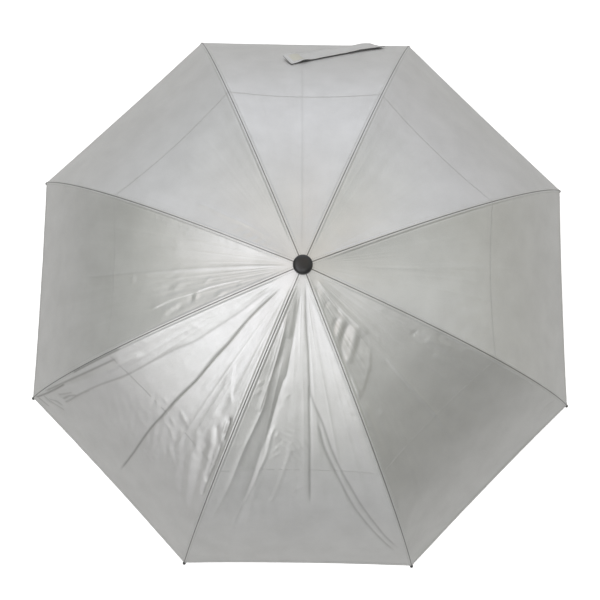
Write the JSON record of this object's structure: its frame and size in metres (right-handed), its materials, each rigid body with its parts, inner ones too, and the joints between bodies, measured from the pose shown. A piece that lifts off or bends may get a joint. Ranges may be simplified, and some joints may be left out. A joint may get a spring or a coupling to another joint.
{
  "type": "silver sun umbrella",
  "caption": "Straight-shaft hand-held sun umbrella with a silver-coated octagonal canopy, sliding runner, hinged ribs and stretchers, foam grip and tie strap.",
  "frame": {"origin": "centre of the flat end face of the handle", "axes": "+Z along the shaft from the handle to the cap; +Y towards the middle of the panel that carries the tie strap"},
  "size_m": [0.8746, 0.8746, 0.649],
  "materials": {
    "silver_fabric": "silver-coated fine weave outside, black inside",
    "black_plastic": "fine satin moulded",
    "rib_fibre": "pultruded glass fibre, satin black",
    "shaft_metal": "dark anodised tube",
    "wire": "drawn wire",
    "foam": "closed-cell foam",
    "cord": "braided",
    "tip_plastic": "moulded"
  },
  "bodies": {
    "frame": {"shaft": "shaft_metal", "crown": "black_plastic", "crown_wire": "wire", "top_cap": "black_plastic", "handle_grip": "foam", "handle_end_cap": "black_plastic", "cord_collar": "black_plastic"},
    "wrist_cord": {"wrist_cord": "cord"},
    "runner": {"runner": "black_plastic", "runner_wire": "wire"},
    "runner_button": {"runner_button": "black_plastic"},
    "rib_1": {"rib_1_inner": "rib_fibre"},
    "rib_1_end": {"rib_1_outer": "rib_fibre", "rib_1_tip": "tip_plastic"},
    "stretcher_1": {"stretcher_1": "rib_fibre"},
    "rib_2": {"rib_2_inner": "rib_fibre"},
    "rib_2_end": {"rib_2_outer": "rib_fibre", "rib_2_tip": "tip_plastic"},
    "stretcher_2": {"stretcher_2": "rib_fibre"},
    "rib_3": {"rib_3_inner": "rib_fibre"},
    "rib_3_end": {"rib_3_outer": "rib_fibre", "rib_3_tip": "tip_plastic"},
    "stretcher_3": {"stretcher_3": "rib_fibre"},
    "rib_4": {"rib_4_inner": "rib_fibre"},
    "rib_4_end": {"rib_4_outer": "rib_fibre", "rib_4_tip": "tip_plastic"},
    "stretcher_4": {"stretcher_4": "rib_fibre"},
    "rib_5": {"rib_5_inner": "rib_fibre"},
    "rib_5_end": {"rib_5_outer": "rib_fibre", "rib_5_tip": "tip_plastic"},
    "stretcher_5": {"stretcher_5": "rib_fibre"},
    "rib_6": {"rib_6_inner": "rib_fibre"},
    "rib_6_end": {"rib_6_outer": "rib_fibre", "rib_6_tip": "tip_plastic"},
    "stretcher_6": {"stretcher_6": "rib_fibre"},
    "rib_7": {"rib_7_inner": "rib_fibre"},
    "rib_7_end": {"rib_7_outer": "rib_fibre", "rib_7_tip": "tip_plastic"},
    "stretcher_7": {"stretcher_7": "rib_fibre"},
    "rib_8": {"rib_8_inner": "rib_fibre"},
    "rib_8_end": {"rib_8_outer": "rib_fibre", "rib_8_tip": "tip_plastic"},
    "stretcher_8": {"stretcher_8": "rib_fibre"},
    "panel_1": {"panel_1_upper": "silver_fabric"},
    "panel_1_hem": {"panel_1_lower": "silver_fabric"},
    "panel_2": {"panel_2_upper": "silver_fabric"},
    "panel_2_hem": {"panel_2_lower": "silver_fabric"},
    "panel_3": {"panel_3_upper": "silver_fabric"},
    "panel_3_hem": {"panel_3_lower": "silver_fabric"},
    "panel_4": {"panel_4_upper": "silver_fabric"},
    "panel_4_hem": {"panel_4_lower": "silver_fabric"},
    "panel_5": {"panel_5_upper": "silver_fabric"},
    "panel_5_hem": {"panel_5_lower": "silver_fabric"},
    "panel_6": {"panel_6_upper": "silver_fabric"},
    "panel_6_hem": {"panel_6_lower": "silver_fabric"},
    "panel_7": {"panel_7_upper": "silver_fabric"},
    "panel_7_hem": {"panel_7_lower": "silver_fabric"},
    "panel_8": {"panel_8_upper": "silver_fabric"},
    "panel_8_hem": {"panel_8_lower": "silver_fabric"},
    "tie_strap": {"tie_strap": "silver_fabric"}
  },
  "joints": [
    {"name": "runner_slide", "type": "slide", "parent": "frame", "child": "runner", "axis": [0, 0, -1], "range_m": [0, 0.20505]},
    {"name": "catch_button", "type": "hinge", "parent": "runner", "child": "runner_button", "pos_m": [0, -0.0104, 0.35311], "axis": [1, 0, 0], "range_deg": [0, 11], "stiffness_Nm_per_rad": 0.05},
    {"name": "cord_swing", "type": "hinge", "parent": "frame", "child": "wrist_cord", "pos_m": [0, -0.0112, 0.1212], "axis": [-1, 0, 0], "range_deg": [0, 70]},
    {"name": "rib_1_fold", "type": "hinge", "parent": "frame", "child": "rib_1", "pos_m": [0.00785, 0.00325, 0.635], "axis": [-0.3827, 0.9239, 0], "range_deg": [0, 67.64]},
    {"name": "rib_1_flex", "type": "hinge", "parent": "rib_1", "child": "rib_1_end", "pos_m": [0.27206, 0.11269, 0.54164], "axis": [-0.3827, 0.9239, 0], "range_deg": [-25.79, 0]},
    {"name": "stretcher_1_pivot", "type": "hinge", "parent": "rib_1", "child": "stretcher_1", "pos_m": [0.17764, 0.07358, 0.58551], "axis": [-0.3827, 0.9239, 0], "range_deg": [-103.54, 0]},
    {"name": "rib_2_fold", "type": "hinge", "parent": "frame", "child": "rib_2", "pos_m": [0.00325, 0.00785, 0.635], "axis": [-0.9239, 0.3827, 0], "range_deg": [0, 67.64]},
    {"name": "rib_2_flex", "type": "hinge", "parent": "rib_2", "child": "rib_2_end", "pos_m": [0.11269, 0.27206, 0.54164], "axis": [-0.9239, 0.3827, 0], "range_deg": [-25.79, 0]},
    {"name": "stretcher_2_pivot", "type": "hinge", "parent": "rib_2", "child": "stretcher_2", "pos_m": [0.07358, 0.17764, 0.58551], "axis": [-0.9239, 0.3827, 0], "range_deg": [-103.54, 0]},
    {"name": "rib_3_fold", "type": "hinge", "parent": "frame", "child": "rib_3", "pos_m": [-0.00325, 0.00785, 0.635], "axis": [-0.9239, -0.3827, 0], "range_deg": [0, 67.64]},
    {"name": "rib_3_flex", "type": "hinge", "parent": "rib_3", "child": "rib_3_end", "pos_m": [-0.11269, 0.27206, 0.54164], "axis": [-0.9239, -0.3827, 0], "range_deg": [-25.79, 0]},
    {"name": "stretcher_3_pivot", "type": "hinge", "parent": "rib_3", "child": "stretcher_3", "pos_m": [-0.07358, 0.17764, 0.58551], "axis": [-0.9239, -0.3827, 0], "range_deg": [-103.54, 0]},
    {"name": "rib_4_fold", "type": "hinge", "parent": "frame", "child": "rib_4", "pos_m": [-0.00785, 0.00325, 0.635], "axis": [-0.3827, -0.9239, 0], "range_deg": [0, 67.64]},
    {"name": "rib_4_flex", "type": "hinge", "parent": "rib_4", "child": "rib_4_end", "pos_m": [-0.27206, 0.11269, 0.54164], "axis": [-0.3827, -0.9239, 0], "range_deg": [-25.79, 0]},
    {"name": "stretcher_4_pivot", "type": "hinge", "parent": "rib_4", "child": "stretcher_4", "pos_m": [-0.17764, 0.07358, 0.58551], "axis": [-0.3827, -0.9239, 0], "range_deg": [-103.54, 0]},
    {"name": "rib_5_fold", "type": "hinge", "parent": "frame", "child": "rib_5", "pos_m": [-0.00785, -0.00325, 0.635], "axis": [0.3827, -0.9239, 0], "range_deg": [0, 67.64]},
    {"name": "rib_5_flex", "type": "hinge", "parent": "rib_5", "child": "rib_5_end", "pos_m": [-0.27206, -0.11269, 0.54164], "axis": [0.3827, -0.9239, 0], "range_deg": [-25.79, 0]},
    {"name": "stretcher_5_pivot", "type": "hinge", "parent": "rib_5", "child": "stretcher_5", "pos_m": [-0.17764, -0.07358, 0.58551], "axis": [0.3827, -0.9239, 0], "range_deg": [-103.54, 0]},
    {"name": "rib_6_fold", "type": "hinge", "parent": "frame", "child": "rib_6", "pos_m": [-0.00325, -0.00785, 0.635], "axis": [0.9239, -0.3827, 0], "range_deg": [0, 67.64]},
    {"name": "rib_6_flex", "type": "hinge", "parent": "rib_6", "child": "rib_6_end", "pos_m": [-0.11269, -0.27206, 0.54164], "axis": [0.9239, -0.3827, 0], "range_deg": [-25.79, 0]},
    {"name": "stretcher_6_pivot", "type": "hinge", "parent": "rib_6", "child": "stretcher_6", "pos_m": [-0.07358, -0.17764, 0.58551], "axis": [0.9239, -0.3827, 0], "range_deg": [-103.54, 0]},
    {"name": "rib_7_fold", "type": "hinge", "parent": "frame", "child": "rib_7", "pos_m": [0.00325, -0.00785, 0.635], "axis": [0.9239, 0.3827, 0], "range_deg": [0, 67.64]},
    {"name": "rib_7_flex", "type": "hinge", "parent": "rib_7", "child": "rib_7_end", "pos_m": [0.11269, -0.27206, 0.54164], "axis": [0.9239, 0.3827, 0], "range_deg": [-25.79, 0]},
    {"name": "stretcher_7_pivot", "type": "hinge", "parent": "rib_7", "child": "stretcher_7", "pos_m": [0.07358, -0.17764, 0.58551], "axis": [0.9239, 0.3827, 0], "range_deg": [-103.54, 0]},
    {"name": "rib_8_fold", "type": "hinge", "parent": "frame", "child": "rib_8", "pos_m": [0.00785, -0.00325, 0.635], "axis": [0.3827, 0.9239, 0], "range_deg": [0, 67.64]},
    {"name": "rib_8_flex", "type": "hinge", "parent": "rib_8", "child": "rib_8_end", "pos_m": [0.27206, -0.11269, 0.54164], "axis": [0.3827, 0.9239, 0], "range_deg": [-25.79, 0]},
    {"name": "stretcher_8_pivot", "type": "hinge", "parent": "rib_8", "child": "stretcher_8", "pos_m": [0.17764, -0.07358, 0.58551], "axis": [0.3827, 0.9239, 0], "range_deg": [-103.54, 0]},
    {"name": "panel_1_fold", "type": "hinge", "parent": "frame", "child": "panel_1", "pos_m": [0.00743, 0.00743, 0.6366], "axis": [-0.7071, 0.7071, 0], "range_deg": [0, 65.7], "deforming": ["panel_1_upper"]},
    {"name": "panel_1_flex", "type": "hinge", "parent": "panel_1", "child": "panel_1_hem", "pos_m": [0.19325, 0.19325, 0.54388], "axis": [-0.7071, 0.7071, 0], "range_deg": [-25.96, 0], "deforming": ["panel_1_lower"]},
    {"name": "panel_2_fold", "type": "hinge", "parent": "frame", "child": "panel_2", "pos_m": [0, 0.01051, 0.6366], "axis": [-1, 0, 0], "range_deg": [0, 65.7], "deforming": ["panel_2_upper"]},
    {"name": "panel_2_flex", "type": "hinge", "parent": "panel_2", "child": "panel_2_hem", "pos_m": [0, 0.2733, 0.54388], "axis": [-1, 0, 0], "range_deg": [-25.96, 0], "deforming": ["panel_2_lower"]},
    {"name": "panel_3_fold", "type": "hinge", "parent": "frame", "child": "panel_3", "pos_m": [-0.00743, 0.00743, 0.6366], "axis": [-0.7071, -0.7071, 0], "range_deg": [0, 65.7], "deforming": ["panel_3_upper"]},
    {"name": "panel_3_flex", "type": "hinge", "parent": "panel_3", "child": "panel_3_hem", "pos_m": [-0.19325, 0.19325, 0.54388], "axis": [-0.7071, -0.7071, 0], "range_deg": [-25.96, 0], "deforming": ["panel_3_lower"]},
    {"name": "panel_4_fold", "type": "hinge", "parent": "frame", "child": "panel_4", "pos_m": [-0.01051, 0, 0.6366], "axis": [0, -1, 0], "range_deg": [0, 65.7], "deforming": ["panel_4_upper"]},
    {"name": "panel_4_flex", "type": "hinge", "parent": "panel_4", "child": "panel_4_hem", "pos_m": [-0.2733, 0, 0.54388], "axis": [0, -1, 0], "range_deg": [-25.96, 0], "deforming": ["panel_4_lower"]},
    {"name": "panel_5_fold", "type": "hinge", "parent": "frame", "child": "panel_5", "pos_m": [-0.00743, -0.00743, 0.6366], "axis": [0.7071, -0.7071, 0], "range_deg": [0, 65.7], "deforming": ["panel_5_upper"]},
    {"name": "panel_5_flex", "type": "hinge", "parent": "panel_5", "child": "panel_5_hem", "pos_m": [-0.19325, -0.19325, 0.54388], "axis": [0.7071, -0.7071, 0], "range_deg": [-25.96, 0], "deforming": ["panel_5_lower"]},
    {"name": "panel_6_fold", "type": "hinge", "parent": "frame", "child": "panel_6", "pos_m": [0, -0.01051, 0.6366], "axis": [1, 0, 0], "range_deg": [0, 65.7], "deforming": ["panel_6_upper"]},
    {"name": "panel_6_flex", "type": "hinge", "parent": "panel_6", "child": "panel_6_hem", "pos_m": [0, -0.2733, 0.54388], "axis": [1, 0, 0], "range_deg": [-25.96, 0], "deforming": ["panel_6_lower"]},
    {"name": "panel_7_fold", "type": "hinge", "parent": "frame", "child": "panel_7", "pos_m": [0.00743, -0.00743, 0.6366], "axis": [0.7071, 0.7071, 0], "range_deg": [0, 65.7], "deforming": ["panel_7_upper"]},
    {"name": "panel_7_flex", "type": "hinge", "parent": "panel_7", "child": "panel_7_hem", "pos_m": [0.19325, -0.19325, 0.54388], "axis": [0.7071, 0.7071, 0], "range_deg": [-25.96, 0], "deforming": ["panel_7_lower"]},
    {"name": "panel_8_fold", "type": "hinge", "parent": "frame", "child": "panel_8", "pos_m": [0.01051, 0, 0.6366], "axis": [0, 1, 0], "range_deg": [0, 65.7], "deforming": ["panel_8_upper"]},
    {"name": "panel_8_flex", "type": "hinge", "parent": "panel_8", "child": "panel_8_hem", "pos_m": [0.2733, 0, 0.54388], "axis": [0, 1, 0], "range_deg": [-25.96, 0], "deforming": ["panel_8_lower"]},
    {"name": "strap_lift", "type": "hinge", "parent": "panel_2_hem", "child": "tie_strap", "pos_m": [0.127, 0.41886, 0.39864], "axis": [-0.4887, 0.4764, -0.7309], "range_deg": [0, 75]}
  ],
  "couplings": [
    {"joint": "rib_1_fold", "follows": "runner_slide", "rad_per_m": 5.7567},
    {"joint": "rib_1_flex", "follows": "runner_slide", "rad_per_m": -2.1945},
    {"joint": "stretcher_1_pivot", "follows": "runner_slide", "rad_per_m": -8.8132},
    {"joint": "rib_2_fold", "follows": "runner_slide", "rad_per_m": 5.7567},
    {"joint": "rib_2_flex", "follows": "runner_slide", "rad_per_m": -2.1945},
    {"joint": "stretcher_2_pivot", "follows": "runner_slide", "rad_per_m": -8.8132},
    {"joint": "rib_3_fold", "follows": "runner_slide", "rad_per_m": 5.7567},
    {"joint": "rib_3_flex", "follows": "runner_slide", "rad_per_m": -2.1945},
    {"joint": "stretcher_3_pivot", "follows": "runner_slide", "rad_per_m": -8.8132},
    {"joint": "rib_4_fold", "follows": "runner_slide", "rad_per_m": 5.7567},
    {"joint": "rib_4_flex", "follows": "runner_slide", "rad_per_m": -2.1945},
    {"joint": "stretcher_4_pivot", "follows": "runner_slide", "rad_per_m": -8.8132},
    {"joint": "rib_5_fold", "follows": "runner_slide", "rad_per_m": 5.7567},
    {"joint": "rib_5_flex", "follows": "runner_slide", "rad_per_m": -2.1945},
    {"joint": "stretcher_5_pivot", "follows": "runner_slide", "rad_per_m": -8.8132},
    {"joint": "rib_6_fold", "follows": "runner_slide", "rad_per_m": 5.7567},
    {"joint": "rib_6_flex", "follows": "runner_slide", "rad_per_m": -2.1945},
    {"joint": "stretcher_6_pivot", "follows": "runner_slide", "rad_per_m": -8.8132},
    {"joint": "rib_7_fold", "follows": "runner_slide", "rad_per_m": 5.7567},
    {"joint": "rib_7_flex", "follows": "runner_slide", "rad_per_m": -2.1945},
    {"joint": "stretcher_7_pivot", "follows": "runner_slide", "rad_per_m": -8.8132},
    {"joint": "rib_8_fold", "follows": "runner_slide", "rad_per_m": 5.7567},
    {"joint": "rib_8_flex", "follows": "runner_slide", "rad_per_m": -2.1945},
    {"joint": "stretcher_8_pivot", "follows": "runner_slide", "rad_per_m": -8.8132},
    {"joint": "panel_1_fold", "follows": "runner_slide", "rad_per_m": 5.5915},
    {"joint": "panel_1_flex", "follows": "runner_slide", "rad_per_m": -2.209},
    {"joint": "panel_2_fold", "follows": "runner_slide", "rad_per_m": 5.5915},
    {"joint": "panel_2_flex", "follows": "runner_slide", "rad_per_m": -2.209},
    {"joint": "panel_3_fold", "follows": "runner_slide", "rad_per_m": 5.5915},
    {"joint": "panel_3_flex", "follows": "runner_slide", "rad_per_m": -2.209},
    {"joint": "panel_4_fold", "follows": "runner_slide", "rad_per_m": 5.5915},
    {"joint": "panel_4_flex", "follows": "runner_slide", "rad_per_m": -2.209},
    {"joint": "panel_5_fold", "follows": "runner_slide", "rad_per_m": 5.5915},
    {"joint": "panel_5_flex", "follows": "runner_slide", "rad_per_m": -2.209},
    {"joint": "panel_6_fold", "follows": "runner_slide", "rad_per_m": 5.5915},
    {"joint": "panel_6_flex", "follows": "runner_slide", "rad_per_m": -2.209},
    {"joint": "panel_7_fold", "follows": "runner_slide", "rad_per_m": 5.5915},
    {"joint": "panel_7_flex", "follows": "runner_slide", "rad_per_m": -2.209},
    {"joint": "panel_8_fold", "follows": "runner_slide", "rad_per_m": 5.5915},
    {"joint": "panel_8_flex", "follows": "runner_slide", "rad_per_m": -2.209}
  ]
}
